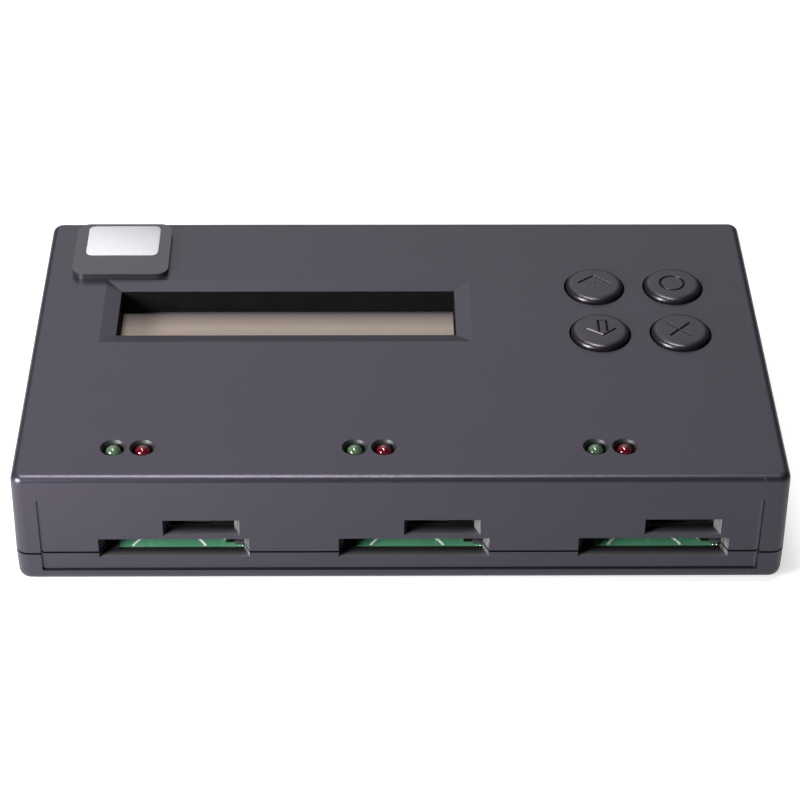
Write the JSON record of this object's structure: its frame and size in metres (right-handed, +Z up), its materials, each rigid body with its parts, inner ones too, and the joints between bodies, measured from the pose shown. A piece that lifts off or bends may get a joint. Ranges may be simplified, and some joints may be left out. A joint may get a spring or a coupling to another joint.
{
  "type": "memory card duplicator",
  "caption": "Flat moulded desk-top memory card duplicator: SD and microSD slots in a recessed front panel, a sunk display window, round push buttons and indicator lights.",
  "frame": {"origin": "middle of the footprint, on the surface that the feet stand on", "axes": "+X to the right along the row of ports, +Y to the rear, +Z up"},
  "size_m": [0.1406, 0.0834, 0.0266],
  "materials": {
    "shell_plastic": "moulded ABS, fine spark-eroded satin texture",
    "button_plastic": "smooth satin moulding",
    "plate_plastic": "satin dark plate with a bare light field",
    "display_glass": "unlit display behind a polished polariser",
    "backlight_plastic": "white diffusing light guide",
    "bezel_metal": "black coated sheet steel",
    "board_laminate": "green solder mask on glass-fibre laminate",
    "socket_plastic": "black liquid crystal polymer",
    "cover_metal": "nickel-plated sheet",
    "contact_metal": "gold-plated springs",
    "green_lens": "tinted epoxy, unlit",
    "red_lens": "tinted epoxy, unlit",
    "tinned_wire": "bright tin",
    "chip_plastic": "moulded epoxy",
    "can_metal": "drawn can",
    "ferrite": "dark grey ferrite",
    "jack_plastic": "black moulding",
    "header_plastic": "black moulding with tinned pins",
    "switch_body": "black moulding",
    "plunger_plastic": "black moulding",
    "screw_steel": "black zinc",
    "spacer_brass": "turned tube",
    "foot_rubber": "matt rubber"
  },
  "bodies": {
    "housing": {"back_switch": "switch_body", "board_screws": "screw_steel", "board_spacers": "spacer_brass", "bottom_shell": "shell_plastic", "button_board": "board_laminate", "button_header": "header_plastic", "capacitors": "can_metal", "card_board": "board_laminate", "card_board_screws": "screw_steel", "card_header": "header_plastic", "case_screws": "screw_steel", "controller_chip": "chip_plastic", "crystal": "can_metal", "display_backlight": "backlight_plastic", "display_bezel": "bezel_metal", "display_board": "board_laminate", "display_glass": "display_glass", "display_header": "header_plastic", "down_switch": "switch_body", "green_led_1": "green_lens", "green_led_2": "green_lens", "green_led_3": "green_lens", "inductor": "ferrite", "led_leads": "tinned_wire", "main_board": "board_laminate", "memory_chip": "chip_plastic", "microsd_contacts": "contact_metal", "microsd_socket_base_1": "socket_plastic", "microsd_socket_base_2": "socket_plastic", "microsd_socket_base_3": "socket_plastic", "microsd_socket_cover_1": "cover_metal", "microsd_socket_cover_2": "cover_metal", "microsd_socket_cover_3": "cover_metal", "name_plate": "plate_plastic", "ok_switch": "switch_body", "power_jack": "jack_plastic", "power_jack_pin": "tinned_wire", "red_led_1": "red_lens", "red_led_2": "red_lens", "red_led_3": "red_lens", "regulator": "chip_plastic", "rubber_feet": "foot_rubber", "sd_contacts": "contact_metal", "sd_socket_base_1": "socket_plastic", "sd_socket_base_2": "socket_plastic", "sd_socket_base_3": "socket_plastic", "sd_socket_cover_1": "cover_metal", "sd_socket_cover_2": "cover_metal", "sd_socket_cover_3": "cover_metal", "top_shell": "shell_plastic", "up_switch": "switch_body"},
    "up_key": {"up_button": "button_plastic", "up_plunger": "plunger_plastic"},
    "ok_key": {"ok_button": "button_plastic", "ok_plunger": "plunger_plastic"},
    "down_key": {"down_button": "button_plastic", "down_plunger": "plunger_plastic"},
    "back_key": {"back_button": "button_plastic", "back_plunger": "plunger_plastic"}
  },
  "joints": [
    {"name": "up_press", "type": "slide", "parent": "housing", "child": "up_key", "axis": [0, 0, -1], "range_m": [0, 0.0003], "stiffness_N_per_m": 300, "springref_m": -0.001},
    {"name": "ok_press", "type": "slide", "parent": "housing", "child": "ok_key", "axis": [0, 0, -1], "range_m": [0, 0.0003], "stiffness_N_per_m": 300, "springref_m": -0.001},
    {"name": "down_press", "type": "slide", "parent": "housing", "child": "down_key", "axis": [0, 0, -1], "range_m": [0, 0.0003], "stiffness_N_per_m": 300, "springref_m": -0.001},
    {"name": "back_press", "type": "slide", "parent": "housing", "child": "back_key", "axis": [0, 0, -1], "range_m": [0, 0.0003], "stiffness_N_per_m": 300, "springref_m": -0.001}
  ]
}
